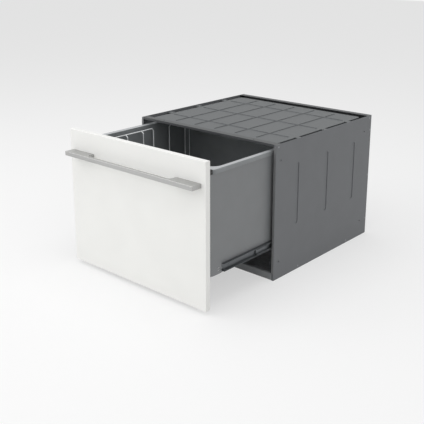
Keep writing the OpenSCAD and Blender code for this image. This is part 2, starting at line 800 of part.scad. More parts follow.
module tub() color("#6d7072") translate([0, tub_yc, 0]) {
    fin_front = tub_yc - inner_front_back - seat_gap;
    difference() {
        union() {
            translate([0, 0, floor_z]) tub_shell();
            tub_rim();
            translate([0, 0, sump_z]) sump_cup();
            // Ledges that carry the racks
            for (s = [-1, 1])
                block([-225, s > 0 ? tub_in_d/2 - 20 : -tub_in_d/2 - 1, ledge_z - 5],
                      [225, s > 0 ? tub_in_d/2 + 1 : -tub_in_d/2 + 20, ledge_z]);
            // Ribs under the floor
            for (x = [-200, -140, 140, 200]) translate([x - 1.5, -200, sump_z + 13]) cube([3, 400, sump_depth - 12]);
            for (y = [-190, -130, 130, 190]) translate([-210, y - 1.5, sump_z + 13]) cube([420, 3, sump_depth - 12]);
            // Fins that reach forwards to the inner front
            for (x = [-220, -120, 120, 220])
                translate([x - 1.5, -fin_front, floor_z + 20])
                    cube([3, fin_front - tub_d/2 + 1, rim_z - lip_h - floor_z - 30]);
            // Ribs and keels that carry the side skins and the runners
            for (s = [-1, 1]) on_side(s) {
                for (z = [200, 300, rim_z - 36]) block([tub_w/2 - 1, -tub_d/2 + 45, z], [skin_in_x - seat_gap, tub_d/2 - 45, z + 3]);
                block([tub_w/2 - 1, -tub_d/2 + 45, floor_z + 13], [skin_in_x - seat_gap, tub_d/2 - 45, floor_z + 16]);
                block([tub_w/2 - tub_wall, -tub_d/2 + 45, channel_low + 1], [tub_w/2, tub_d/2 - 45, floor_z + 40]);
                block([tub_w/2 - tub_wall, -tub_d/2 + 45, channel_low + 1],
                      [skin_in_x - seat_gap, tub_d/2 - 45, channel_low + 4]);
            }
        }
        // Opening for the dispenser
        block([disp_x - disp_w/2, -tub_d/2 - cut, disp_z], [disp_x + disp_w/2, -tub_d/2 + tub_wall + cut, disp_z + disp_h]);
        // Seat of the spray hub
        translate([0, 0, sump_z - cut]) cylinder(r = 10, h = tub_wall + 2*cut, $fn = fine);
    }
}

// ---------------------------------------------------------------- drawer body

// Side outline in Y and Z: straight under the rim, with a rounded front foot
module skin_outline() {
    y0 = inner_front_y;
    y1 = tub_y0 + tub_d + 8;
    foot_end = runner_y - shut_travel + 16;
    top = rim_z - tub_wall - seat_gap;
    blend = 26;
    difference() {
        union() {
            translate([y0, channel_low]) square([y1 - y0, top - channel_low]);
            translate([y0, skin_foot_z]) square([foot_end - y0 - blend, channel_low - skin_foot_z + 1]);
            translate([foot_end - blend, skin_foot_z]) intersection() {
                square([blend, channel_low - skin_foot_z + 1]);
                translate([0, blend*2.6]) circle(r = blend*2.6, $fn = 96);
            }
        }
        // Notch under the front corner of the rim
        translate([y0 - cut, rim_z - lip_h - seat_gap]) square([front_depth - bracket_t + 14 + cut, lip_h + cut]);
        difference() {
            translate([y0 - cut, skin_foot_z - cut]) square([40 + cut, 40 + cut]);
            translate([y0 + 40, skin_foot_z + 110]) circle(r = 110, $fn = 128);
        }
    }
}

module side_skin(side) on_side(side) {
    mark_y = drawer_y + 66;
    mark_z = channel_low + 12;
    difference() {
        translate([skin_in_x, 0, 0]) rotate([90, 0, 90]) linear_extrude(skin_t) skin_outline();
        for (m = [[0, 8, 0], [0, 0, 0], [13, 4, 90]])
            translate([skin_in_x - cut, mark_y + m[0] - 8, mark_z + m[1] - 6]) rotate([90, m[2] == 90 ? -90 : 0, 90])
                linear_extrude(skin_t + 2*cut) slot(10, 1.1);
    }
}
module side_skin_left() color("#747779") side_skin(-1);
module side_skin_right() color("#747779") side_skin(1);

// Steel sheet behind the front panel, with folded edges
module inner_front() color("#9b9d9f") {
    x = skin_in_x - seat_gap;
    low = channel_low + 6;
    top = fascia_low - seat_gap;
    edge = 24;
    difference() {
        union() {
            block([-x, inner_front_y, low], [x, inner_front_back, top]);
            for (s = [-1, 1]) on_side(s) block([x - sheet, inner_front_y, low], [x, inner_front_y + edge, top]);
            block([-x, inner_front_y, top - sheet], [x, inner_front_y + edge, top]);
            block([-x, inner_front_y, low], [x, inner_front_y + edge, low + sheet]);
        }
        for (s = [-1, 1], z = screw_zs) rod_y([s*bracket_x, inner_front_y - cut, z], sheet + 2*cut, 5.5);
    }
}
bracket_x = 170;
screw_low_z = 150;
screw_high_z = fascia_low - 27.4;
screw_mid_z = (screw_low_z + screw_high_z)/2;
screw_zs = [screw_low_z, screw_mid_z, screw_high_z];

// Painted board with slightly broken edges
module front_panel() color("#ebebe9") difference() {
    broken_block([-panel_w/2, panel_y, panel_lift], [panel_w/2, drawer_y, panel_top], panel_edge);
    for (s = [-1, 1]) {
        rod_y([s*handle_screw_x, panel_y - cut, handle_z], panel_t + 2*cut, 2.3);
        rod_y([s*handle_screw_x, drawer_y - 3.4, handle_z], 4.4, 4.4);
        for (z = screw_zs) rod_y([s*bracket_x, drawer_y - 12.5, z], 13.5, 1.9);
    }
}

handle_z = panel_top - handle_drop - handle_h/2;
handle_screw_x = handle_w/2 - handle_foot/2;

// Flat bar whose two feet reach back to the panel, cut from one section
module handle() color("#b8b9bb") difference() {
    y0 = panel_y - handle_reach;
    gap_x = handle_w/2 - handle_foot;
    broken_block([-handle_w/2, y0, handle_z - handle_h/2], [handle_w/2, panel_y, handle_z + handle_h/2], handle_edge);
    // Finger gap between the feet, with round inner corners
    translate([0, y0 + handle_t, handle_z - handle_h/2 - cut]) linear_extrude(handle_h + 2*cut) {
        translate([-gap_x + handle_corner_r, 0]) square([2*(gap_x - handle_corner_r), handle_reach]);
        translate([-gap_x, handle_corner_r]) square([2*gap_x, handle_reach]);
        for (s = [-1, 1]) translate([s*(gap_x - handle_corner_r), handle_corner_r])
            circle(r = handle_corner_r, $fn = fine);
    }
    for (s = [-1, 1]) rod_y([s*handle_screw_x, panel_y - 14, handle_z], 15, 2);
}

// Screws through the panel into the handle's feet
module handle_screws() color("#909294") {
    for (s = [-1, 1]) {
        rod_y([s*handle_screw_x, panel_y - 12, handle_z], panel_t + 10, 1.95);
        difference() {
            rod_y([s*handle_screw_x, drawer_y - 3, handle_z], 2.6, 4);
            rod_y([s*handle_screw_x, drawer_y - 1.6, handle_z], 3, 1.6, 6);
        }
    }
}

// Steel strips between the panel and the drawer
module panel_brackets() color("#a9abad") {
    for (s = [-1, 1]) difference() {
        translate([s*bracket_x, drawer_y + seat_gap/2, screw_mid_z]) rotate([-90, 0, 0])
            linear_extrude(bracket_t - seat_gap) rotate(90) slot(screw_high_z - screw_low_z + 60, 13);
        for (z = screw_zs) rod_y([s*bracket_x, drawer_y - cut, z], bracket_t + 2*cut, 2.3);
    }
}

module panel_screws() color("#909294") {
    for (s = [-1, 1], z = screw_zs) {
        rod_y([s*bracket_x, drawer_y - 12, z], 14, 1.85);
        difference() {
            rod_y([s*bracket_x, drawer_y + bracket_t, z], 2.4, 4.2);
            rod_y([s*bracket_x, drawer_y + bracket_t + 1, z], 3, 1.6, 6);
        }
    }
}

// ---------------------------------------------------------------- controls

module control_fascia() color("#3a3c3e") {
    y0 = fascia_y0;
    y1 = fascia_y1;
    w = fascia_wall;
    difference() {
        union() {
            block([-fascia_x, y0, fascia_low], [fascia_x, y1, fascia_top - 1]);
            block([-fascia_x, y0 + 1, fascia_top - 1 - cut], [fascia_x, y1 - 1, fascia_top]);
        }
        block([-fascia_x + w, y0 + w, fascia_low - cut], [fascia_x - w, y1 - w, fascia_top - w]);
        for (x = button_xs) rod_z([x, button_y, fascia_top - w - cut], w + 2*cut, button_r + button_gap);
        block([lens_xs[0], button_y - 4, fascia_top - w - cut], [lens_xs[1], button_y + 4, fascia_top + cut]);
    }
    for (x = [-240, -120, 120, 240])
        rod_z([x, button_y, board_z + board_t + 0.05], fascia_top - w - board_z - board_t, 3);
}

// Black end pieces of the control strip, at the tub's front corners
module end_caps() color("#151617") {
    for (s = [-1, 1]) on_side(s) difference() {
        block([fascia_x + seat_gap, fascia_y0, fascia_low], [skin_out_x, fascia_y1, fascia_top]);
        translate([skin_out_x - 3, fascia_y0 - cut, fascia_top - 3]) difference() {
            cube([4, 60, 4]);
            rotate([-90, 0, 0]) cylinder(r = 3, h = 60, $fn = fine);
        }
        block([skin_in_x - seat_gap, fascia_y0 - cut, fascia_low - cut], [skin_out_x + cut, fascia_y1 + cut, rim_z - lip_h]);
    }
}

module control_board() color("#2c5a3a") {
    block([-fascia_x + 6, fascia_y0 + 4, board_z], [fascia_x - 6, fascia_y1 - 4, board_z + board_t]);
    for (x = button_xs) {
        block([x - 3, button_y - 3, board_z + board_t], [x + 3, button_y + 3, board_z + board_t + 1.6]);
        rod_z([x, button_y, board_z + board_t + 1.6], 0.6, 1.6);
    }
}

module status_lens() color("#d8dde0", 0.7) {
    g = 0.1;
    block([lens_xs[0] + g, button_y - 4 + g, fascia_top - fascia_wall], [lens_xs[1] - g, button_y + 4 - g, fascia_top - 0.2]);
    block([lens_xs[0] - 2, button_y - 6, fascia_top - fascia_wall - 1.5], [lens_xs[1] + 2, button_y + 6, fascia_top - fascia_wall - g/2]);
}

// Push button: cap, retaining collar and plunger over its switch
module button(x) {
    switch_z = board_z + board_t + 2.2;
    difference() {
        rod_z([x, button_y, fascia_top - fascia_wall - 2], fascia_wall + 2 + button_rise, button_r, fine);
        translate([x, button_y, fascia_top + button_rise + 10.6]) sphere(r = 11, $fn = fine);
    }
    rod_z([x, button_y, fascia_top - fascia_wall - 2], 1.8, button_r + 1.4, fine);
    rod_z([x, button_y, switch_z + 1.1 + button_rise - 1], fascia_top - fascia_wall - 2 - switch_z - 1, 2);
}
module button_power() color("#d9dadb") button(button_xs[0]);
module button_program() color("#d9dadb") button(button_xs[1]);
module button_start() color("#d9dadb") button(button_xs[2]);

// ---------------------------------------------------------------- wash system

// Flat motor under the sump, with the drain pump and its outlet
module wash_motor() color("#8a8c8e") translate([0, tub_yc, 0]) {
    top = sump_z - seat_gap;
    rod_z([0, 0, top - 34], 34, 74, fine);
    rod_z([0, 0, top - 42], 8, 66, fine);
    rod_z([0, 0, top - 46], 4, 20, fine);
    for (a = [0:30:330]) rotate(a) translate([60, -2, top - 44]) cube([18, 4, 40]);
    for (a = [45, 165, 285]) rotate(a) rod_z([86, 0, top - 8], 8, 8);
    for (a = [45, 165, 285]) rotate(a) translate([70, -6, top - 8]) cube([16, 12, 8]);
    rod_x([50, 40, top - 22], 70, 17, fine);
    rod_y([104, 40, top - 22], 52, 9.5, fine);
}

module spray_hub() color("#c4c6c8") translate([0, tub_yc, 0]) difference() {
    union() {
        rod_z([0, 0, sump_z + tub_wall + seat_gap], 4, 24, fine);
        rod_z([0, 0, sump_z + 0.2], 10, 9.8, fine);
        rod_z([0, 0, sump_z + tub_wall + seat_gap], hub_z - sump_z - tub_wall - seat_gap, 14, fine);
        rod_z([0, 0, hub_z - 1], snap_z - hub_z + 1, hub_pin_r, fine);
        // Split snap head that holds the arm down
        translate([0, 0, snap_z]) cylinder(r1 = snap_r, r2 = hub_pin_r - 1.5, h = snap_h, $fn = fine);
    }
    rod_z([0, 0, snap_z - 6], 30, hub_pin_r - 3, fine);
    for (a = [0, 90]) rotate(a) translate([-20, -0.9, snap_z - 3]) cube([40, 1.8, 20]);
}

// Rotating arm: boss that caps the pin, two tapered blades and spray jets
module spray_arm() color("#b3b6b8") translate([0, tub_yc, arm_z]) {
    boss_r = 21;
    recess = snap_z - 0.2 - arm_z;
    tip_r = 13;
    root = 19;
    tip = arm_reach - tip_r;
    difference() {
        union() {
            cylinder(r = boss_r, h = arm_boss_h, $fn = fine);
            for (a = [0, 180]) rotate(a) translate([0, 0, 3]) linear_extrude(9) {
                polygon([[0, -root], [tip, -tip_r], [tip, tip_r], [0, root]]);
                translate([tip, 0]) circle(r = tip_r, $fn = fine);
            }
            for (a = [0, 180]) rotate(a) translate([0, 0, 12]) linear_extrude(2.5)
                polygon([[0, -root + 7], [tip, -tip_r + 8], [tip, tip_r - 8], [0, root - 7]]);
        }
        translate([0, 0, -cut]) cylinder(r = hub_pin_r + running_gap, h = recess + 2*cut, $fn = fine);
        translate([0, 0, recess]) cylinder(r = snap_r + 0.4, h = arm_boss_h - arm_crown - recess, $fn = fine);
        for (a = [0, 180]) rotate(a) for (i = [0:4])
            translate([55 + 34*i, (i % 2 == 0 ? 2 : -2), 12]) cylinder(r = 2, h = 5, $fn = small);
        for (a = [0, 180]) rotate(a) translate([tip + 2, 8, 7.5]) rotate([-90, 0, 0])
            cylinder(r = 1.6, h = 12, $fn = small);
    }
}

// Filter plate over the sump
filter_w = 430;
filter_d = 366;
filter_x = 68;
module filter_plate() color("#85888a") translate([0, tub_yc, 0]) difference() {
    union() {
        round_plate(filter_w, filter_d, 30, floor_top + 1.2, floor_top + 3.4);
        for (x = [-1, 1], y = [-1, 1]) rod_z([x*180, y*150, floor_top + 0.1], 2, 6);
        for (a = [0:30:150]) rotate(a) translate([-128, -1, floor_top + 3.4]) cube([256, 2, 1.6]);
    }
    rod_z([0, 0, floor_top], 10, 15, fine);
    rod_z([filter_x, 0, floor_top], 10, drain_filter_r + 1.2, fine);
    rod_z([filter_x, 0, floor_top + 3.4], 10, drain_filter_r + 6.5, fine);
    for (ring = [[30, 12, 8], [44, 18, 8], [88, 32, 9], [103, 38, 9], [118, 44, 9]], i = [0:ring[1] - 1])
        rotate(360*i/ring[1]) translate([ring[0], 0, 0]) if (keep_hole(ring[0], 360*i/ring[1]))
            rod_z([0, 0, floor_top], 10, 1.7, 24);
}
drain_filter_r = 33;
// Holes stay clear of the round opening and of the raised ribs
function keep_hole(r, a) =
    norm([r*cos(a) - filter_x, r*sin(a)]) > drain_filter_r + 6 && abs(r*sin(30*round(a/30) - a)) > 3.4;

// Lift-out drain filter with a bar to turn it by
module drain_filter() color("#5e7482") translate([filter_x, tub_yc, 0]) {
    low = sump_z + tub_wall + 1.5;
    top = floor_top + 3.6;
    difference() {
        union() {
            rod_z([0, 0, low], top - low + 1, drain_filter_r, fine);
            rod_z([0, 0, top], 2, drain_filter_r + 5, fine);
        }
        rod_z([0, 0, low + 2], 60, drain_filter_r - 2, fine);
        for (a = [0:15:345]) rotate(a) translate([drain_filter_r - 4, -1.5, low + 5]) cube([8, 3, 16]);
    }
    translate([-drain_filter_r + 1, -2, top + 0.5]) cube([2*drain_filter_r - 2, 4, 9]);
}

// ---------------------------------------------------------------- dispenser

module dispenser_body() color("#d4d6d8") {
    x0 = disp_x - disp_w/2;
    x1 = disp_x + disp_w/2;
    g = 0.3;
    y_front = disp_face_y - tub_wall - 26;
    cup_x0 = disp_lid_x - 26;
    difference() {
        union() {
            block([x0 + g, y_front, disp_z + g], [x1 - g, disp_face_y + disp_flange/2, disp_z + disp_h - g]);
            block([x0 - 4, disp_face_y + 0.05, disp_z - 4], [x1 + 4, disp_face_y + disp_flange, disp_z + disp_h + 4]);
        }
        block([cup_x0, y_front + 3, disp_z + 14], [cup_x0 + 52, disp_face_y + 10, disp_z + 62]);
        block([cup_x0 + 58, y_front + 3, disp_z + 8], [x1 - 4, disp_face_y - tub_wall, disp_z + disp_h - 6]);
        rod_y([rinse_x, disp_face_y - 20, rinse_z], 40, rinse_r + running_gap, fine);
    }
    // Two ears for the lid's pin
    for (x = [disp_lid_x - disp_lid_w/2 - 3.3, disp_lid_x + disp_lid_w/2 + 0.3]) difference() {
        block([x, disp_face_y + disp_flange - 0.5, disp_pin_z - 4], [x + 3, disp_pin_y + 4, disp_pin_z + 4]);
        rod_x([x - cut, disp_pin_y, disp_pin_z], 5, disp_pin_r + running_gap);
    }
}
rinse_r = 13;

module dispenser_lid() color("#bfc3c6") {
    x0 = disp_lid_x - disp_lid_w/2;
    y0 = disp_face_y + disp_flange + 0.6;
    difference() {
        union() {
            block([x0, y0, disp_pin_z + 5], [x0 + disp_lid_w, y0 + disp_lid_t, disp_pin_z + disp_lid_h]);
            for (x = [x0, x0 + disp_lid_w - 8]) {
                block([x, y0, disp_pin_z], [x + 8, y0 + disp_lid_t + 2, disp_pin_z + 6]);
                rod_x([x, disp_pin_y, disp_pin_z], 8, 3.6);
            }
            block([disp_lid_x - 10, y0 + 1, disp_pin_z + disp_lid_h - 8], [disp_lid_x + 10, y0 + disp_lid_t + 4, disp_pin_z + disp_lid_h - 5]);
        }
    }
    rod_x([x0 - 3.3, disp_pin_y, disp_pin_z], disp_lid_w + 6.6, disp_pin_r);
}

module rinse_cap() color("#4d6270") {
    rod_y([rinse_x, disp_face_y - 8, rinse_z], 8 + disp_flange + 0.5, rinse_r, fine);
    rod_y([rinse_x, disp_face_y + disp_flange + 0.3, rinse_z], 2.4, rinse_r + 2.5, fine);
    translate([rinse_x, disp_face_y + disp_flange + 2.6, rinse_z]) rotate([-90, 0, 0]) linear_extrude(4) slot(24, 2.2);
}

// ---------------------------------------------------------------- racks

// Floor of a rack: cross wires welded on long wires
module rack_floor(in_x, out_x) {
    step = (out_x - in_x)/long_wires;
    for (i = [0:long_wires]) rod_y([in_x + step*i, -rack_d/2, long_z], rack_d, wire_r, 24);
    for (y = cross_ys) rod_x([in_x - wire_r, y, cross_z], out_x - in_x + wire_d, wire_r, 24);
}

// Hoop of the outer side, with a slanting corner at each end, on the outermost long wire
module rack_hoop(x, span) {
    top_z = hoop_z - hoop_corner;
    rod_y([x, span[0] + hoop_corner, hoop_z], span[1] - span[0] - 2*hoop_corner, wire_r, 24);
    for (end = [0, 1]) translate([x, span[end], top_z]) rotate(180*end) {
        translate([0, hoop_corner, hoop_corner]) sphere(r = wire_r, $fn = 24);
        sphere(r = wire_r, $fn = 24);
        rotate([-45, 0, 0]) cylinder(r = wire_r, h = hoop_corner*sqrt(2), $fn = 24);
        translate([0, 0, weld_z - top_z]) cylinder(r = wire_r, h = top_z - weld_z, $fn = 24);
    }
}

// Upright that kinks outwards to the hoop above and the long wire below
module rack_upright(y) {
    foot_z = weld_z + upright_r;
    top_z = hoop_z - kink_drop;
    rod_x([upright_x, y, foot_z], kink + wire_r, upright_r, 24);
    translate([upright_x, y, foot_z]) sphere(r = upright_r, $fn = 24);
    rod_z([upright_x, y, foot_z], top_z - foot_z, upright_r, 24);
    translate([upright_x, y, top_z]) {
        sphere(r = upright_r, $fn = 24);
        rotate([0, atan2(kink, kink_drop), 0]) cylinder(r = upright_r, h = norm([kink, kink_drop]), $fn = 24);
    }
}

// Low rail along the inner side, on four posts beside the cross wires
module rack_inner_rail(x) {
    post_ys = [for (i = [0, 2, 4, 6]) cross_ys[i] + wire_d + seat_gap];
    for (y = post_ys) rod_z([x, y, weld_z], inner_rail_z - wire_r - seat_gap - weld_z, wire_r, 24);
    rod_y([x, post_ys[0] - wire_r, inner_rail_z], post_ys[3] - post_ys[0] + wire_d, wire_r, 24);
}

// Rack of coated wire: floor, inner rail and outer hoops, each wire touching the next where it is welded
module rack(side, in_x, out_x) translate([0, tub_yc, 0]) on_side(side) {
    rack_floor(in_x, out_x);
    rack_inner_rail(in_x);
    for (span = hoop_spans) rack_hoop(out_x, span);
    for (y = kink_ys) rack_upright(y);
}
rack_left_in = 22;
rack_right_in = -14;
module rack_left() color("#b4b7b9") rack(-1, rack_left_in, rack_out);
module rack_right() color("#b4b7b9") rack(1, rack_right_in, rack_out);

// Each row: where its shaft lies, and the cross wires whose clips hold it
row_left_outer = [-138, [3, 6]];
row_left_inner = [-80, [3, 6]];
row_right_inner = [77, [0, 3, 6]];
row_right_outer = [167, [0, 3, 6]];

// Shaft that turns in its clips, with tines spread evenly between them
module tine_row(row, tine) translate([0, tub_yc, 0]) {
    held = [for (k = row[1]) cross_ys[k]];
    last = len(held) - 1;
    rod_y([row[0], held[0] - 8, shaft_z], held[last] - held[0] + 16, wire_r, small);
    for (k = [0:last - 1]) {
        span = held[k + 1] - held[k];
        gaps = floor((span - 14)/tine_pitch);
        for (i = [0:gaps]) {
            y = held[k] + span/2 + (i - gaps/2)*tine_pitch;
            rod_z([row[0], y, shaft_z], tine, tine_r, 24);
            translate([row[0], y, shaft_z + tine]) sphere(r = tine_r, $fn = 24);
        }
    }
}
module tine_row_left_outer() color("#b4b7b9") tine_row(row_left_outer, tine_small);
module tine_row_left_inner() color("#b4b7b9") tine_row(row_left_inner, tine_small);
module tine_row_right_inner() color("#b4b7b9") tine_row(row_right_inner, tine_large);
module tine_row_right_outer() color("#b4b7b9") tine_row(row_right_outer, tine_large);

// Plastic clips that hold the tine shafts and the cup shelf on the rack wires
module rack_clips() color("#6f7375") translate([0, tub_yc, 0]) {
    clip_w = 9;
    clip_d = 7;
    for (row = [row_left_outer, row_left_inner, row_right_inner, row_right_outer], k = row[1])
        difference() {
            translate([row[0], cross_ys[k], cross_z + 2]) cube([clip_w, clip_d, 13], center = true);
            rod_y([row[0], cross_ys[k] - 10, shaft_z], 20, wire_r + clip_gap);
            rod_x([row[0] - 10, cross_ys[k], cross_z], 20, wire_r + seat_gap);
        }
    for (y = shelf_clip_ys) difference() {
        block([-upright_x - upright_r - 2.2, y - clip_d/2, cup_shelf_z - 6],
              [shelf_pin_x + wire_r + 2.4, y + clip_d/2, cup_shelf_z + 6]);
        rod_z([-upright_x, y, cup_shelf_z - 10], 20, upright_r + seat_gap);
        rod_y([shelf_pin_x, y - 10, cup_shelf_z], 20, wire_r + clip_gap);
    }
}

// Wire shelf for cups that folds up against the side of the rack
module cup_shelf() color("#b4b7b9") translate([0, tub_yc, 0]) {
    y0 = shelf_clip_ys[0] - 10;
    y1 = y0 + 132;
    out_x = shelf_pin_x + cup_shelf_w - wire_d;
    rod_y([shelf_pin_x, y0 - 6, cup_shelf_z], y1 - y0 + 12, wire_r);
    rod_y([out_x, y0 - wire_r, cup_shelf_z], y1 - y0 + wire_d, wire_r, 24);
    for (i = [0:4]) rod_x([shelf_pin_x, y0 + 2 + (y1 - y0 - 4)*i/4, cup_shelf_z], out_x - shelf_pin_x, tine_r, 24);
}

// ---------------------------------------------------------------- cutlery basket

module cutlery_basket() color("#9a9ea1") translate([basket_x, tub_yc + basket_y, cross_z + wire_r + 0.3]) {
    w = 74;
    d = 150;
    h = 108;
    t = 2.4;
    difference() {
        translate([-w/2, -d/2, 0]) cube([w, d, h]);
        for (s = [-1, 1]) translate([-w/2 + t, s*(d/4 - t/4) - (d/2 - 1.5*t)/2, t]) cube([w - 2*t, d/2 - 1.5*t, h]);
        for (i = [0:8], z = [0:2]) translate([-w/2 - cut, -d/2 + 11 + 16*i - 5, 12 + 30*z]) cube([w + 2*cut, 10, 22]);
        for (i = [0:3], z = [0:2]) translate([-w/2 + 7 + 16*i, -d/2 - cut, 12 + 30*z]) cube([11, d + 2*cut, 22]);
        for (i = [0:3], j = [0:7]) translate([-w/2 + 7 + 16*i, -d/2 + 12 + 17*j, -cut]) cube([11, 9, t + 2*cut]);
    }
}
basket_x = -84;
basket_y = -128;

// ---------------------------------------------------------------- drawing

chassis_side_left();
chassis_side_right();
chassis_back();
base_pan();
base_front_rail();
top_brace_front();
top_brace_rear();
front_trims();
chassis_screws();
lid_guides();
lid_actuator_left();
lid_actuator_right();
chassis_rail_left();
chassis_rail_right();
inlet_valve();
drain_outlet();
cable_gland();
lid();
lid_seal();
runner_middle_left();
runner_middle_right();
ball_cage_drawer_left();
ball_cage_drawer_right();
ball_cage_chassis_left();
ball_cage_chassis_right();
tub();
side_skin_left();
side_skin_right();
inner_front();
front_panel();
handle();
handle_screws();
panel_brackets();
panel_screws();
control_fascia();
end_caps();
control_board();
status_lens();
drawer_channel_left();
drawer_channel_right();
wash_motor();
filter_plate();
spray_hub();
dispenser_body();
rack_left();
rack_right();
rack_clips();
cutlery_basket();
spray_arm();
drain_filter();
dispenser_lid();
rinse_cap();
button_power();
button_program();
button_start();
tine_row_left_outer();
tine_row_left_inner();
tine_row_right_inner();
tine_row_right_outer();
cup_shelf();
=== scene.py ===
# Looks of a dishwasher drawer: finishes, softened edges, light and camera.
# Metres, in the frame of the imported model.
import json
import math

import bpy
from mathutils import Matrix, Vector

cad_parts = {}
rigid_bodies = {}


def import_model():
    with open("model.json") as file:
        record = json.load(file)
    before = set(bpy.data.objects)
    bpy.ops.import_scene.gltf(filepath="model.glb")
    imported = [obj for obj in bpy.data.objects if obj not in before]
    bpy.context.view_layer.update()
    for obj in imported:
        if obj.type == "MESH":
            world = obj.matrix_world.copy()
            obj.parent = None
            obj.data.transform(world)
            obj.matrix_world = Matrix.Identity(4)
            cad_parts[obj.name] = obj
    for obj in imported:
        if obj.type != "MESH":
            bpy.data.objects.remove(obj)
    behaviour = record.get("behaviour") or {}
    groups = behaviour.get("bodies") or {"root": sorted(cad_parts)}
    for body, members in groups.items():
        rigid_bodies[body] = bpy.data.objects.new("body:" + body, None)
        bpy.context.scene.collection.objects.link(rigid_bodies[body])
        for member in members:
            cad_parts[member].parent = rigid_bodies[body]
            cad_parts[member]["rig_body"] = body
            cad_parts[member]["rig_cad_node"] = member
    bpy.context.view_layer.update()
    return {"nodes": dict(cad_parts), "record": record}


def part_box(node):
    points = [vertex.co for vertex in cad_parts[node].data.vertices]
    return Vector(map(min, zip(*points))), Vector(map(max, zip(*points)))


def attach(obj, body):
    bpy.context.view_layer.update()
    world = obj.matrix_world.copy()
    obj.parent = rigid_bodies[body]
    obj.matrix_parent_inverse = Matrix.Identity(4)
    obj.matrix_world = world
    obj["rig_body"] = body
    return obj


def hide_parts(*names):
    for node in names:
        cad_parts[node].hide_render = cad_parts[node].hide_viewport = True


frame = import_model()
nodes = frame["nodes"]
slot_of = {part["node"]: part["material_slot"] for part in frame["record"]["subparts"]}

MM = 0.001


# ------------------------------------------------------------------ node trees
def linear(hex_colour):
    """Linear RGBA of an sRGB colour written as a hex string."""
    channels = []
    for start in (1, 3, 5):
        value = int(hex_colour[start:start + 2], 16) / 255
        channels.append(value / 12.92 if value <= 0.04045 else ((value + 0.055) / 1.055) ** 2.4)
    return (*channels, 1.0)


def add(tree, kind, inputs=None, **settings):
    """Adds a node with its settings. An input is a value or another node's output."""
    made = tree.nodes.new(kind)
    for name, value in settings.items():
        setattr(made, name, value)
    for name, value in (inputs or {}).items():
        if isinstance(value, bpy.types.NodeSocket):
            tree.links.new(value, made.inputs[name])
        else:
            made.inputs[name].default_value = value
    return made


def new_material(name, roughness, metallic=0.0, ior=1.5):
    """An empty finish: its tree, its shader, and its surface position in millimetres."""
    material = bpy.data.materials.new(name)
    material.use_nodes = True
    tree = material.node_tree
    shader = tree.nodes["Principled BSDF"]
    shader.inputs["Roughness"].default_value = roughness
    shader.inputs["Metallic"].default_value = metallic
    if metallic < 0.5:
        shader.inputs["IOR"].default_value = ior
    place = add(tree, "ShaderNodeTexCoord").outputs["Object"]
    millimetres = add(tree, "ShaderNodeVectorMath", {0: place, 1: (1 / MM, 1 / MM, 1 / MM)},
                      operation="MULTIPLY")
    return material, tree, shader, millimetres.outputs[0]


def noise(tree, place, size, detail=2.0, stretch=(1, 1, 1)):
    """Noise whose blotches are about size millimetres across, longer along a stretched axis."""
    scale = tuple(1 / (size * longer) for longer in stretch)
    scaled = add(tree, "ShaderNodeMapping", {"Vector": place, "Scale": scale})
    return add(tree, "ShaderNodeTexNoise", {"Vector": scaled.outputs[0], "Scale": 1.0, "Detail": detail})


# Most of a noise lies between these two values
NOISE_LOW = 0.3
NOISE_HIGH = 0.7


def blend_colours(tree, factor, first, second):
    """Colour between two hex colours, by a factor such as noise gives."""
    ramp = add(tree, "ShaderNodeValToRGB", {"Fac": factor})
    ramp.color_ramp.elements[0].position = NOISE_LOW
    ramp.color_ramp.elements[1].position = NOISE_HIGH
    ramp.color_ramp.elements[0].color = linear(first)
    ramp.color_ramp.elements[1].color = linear(second)
    return ramp.outputs["Color"]


def vary(tree, factor, low, high):
    """Number between low and high, by a factor such as noise gives."""
    spread = {"Value": factor, "From Min": NOISE_LOW, "From Max": NOISE_HIGH, "To Min": low, "To Max": high}
    return add(tree, "ShaderNodeMapRange", spread).outputs["Result"]


def paint(tree, shader, factor, first, second, low, high):
    """Colour between two hex colours and roughness between low and high, both by one factor."""
    tree.links.new(blend_colours(tree, factor, first, second), shader.inputs["Base Color"])
    tree.links.new(vary(tree, factor, low, high), shader.inputs["Roughness"])


def bump(tree, shader, height, depth):
    """Bump of a depth in millimetres on the shader."""
    made = add(tree, "ShaderNodeBump", {"Height": height, "Distance": depth * MM, "Strength": 1.0})
    tree.links.new(made.outputs["Normal"], shader.inputs["Normal"])


# ------------------------------------------------------------------ finishes
# The tub rim in millimetres, which bounds the highlight painted on its top: a depth just short of the step in
# its edge, the lip left outside the seal's land, and the radius of the land's corners with that lip
STEP_DEPTH = 1.4
LIP_W = 4.5
RIM_CORNER_R = 49
rim_low, rim_high = (Vector(corner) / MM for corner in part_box("tub"))
LAND_Z = rim_high.z - STEP_DEPTH
RIM_CENTRE = (0, (rim_low.y + rim_high.y) / 2, 0)
# Half of the rim's straight sides, and a height past the whole part, so that height adds no reach
RIM_STRAIGHT = (rim_high.x - RIM_CORNER_R, (rim_high.y - rim_low.y) / 2 - RIM_CORNER_R, 10000)


def white_lacquer():
    """Sprayed acrylic lacquer on board: satin white, with a faint orange peel."""
    material, tree, shader, place = new_material("white_lacquer", 0.4)
    cloud = noise(tree, place, 90, 1)
    peel = noise(tree, place, 3.5, 1)
    paint(tree, shader, cloud.outputs["Fac"], "#ececea", "#eeeeec", 0.39, 0.42)
    bump(tree, shader, peel.outputs["Fac"], 0.012)
    return material


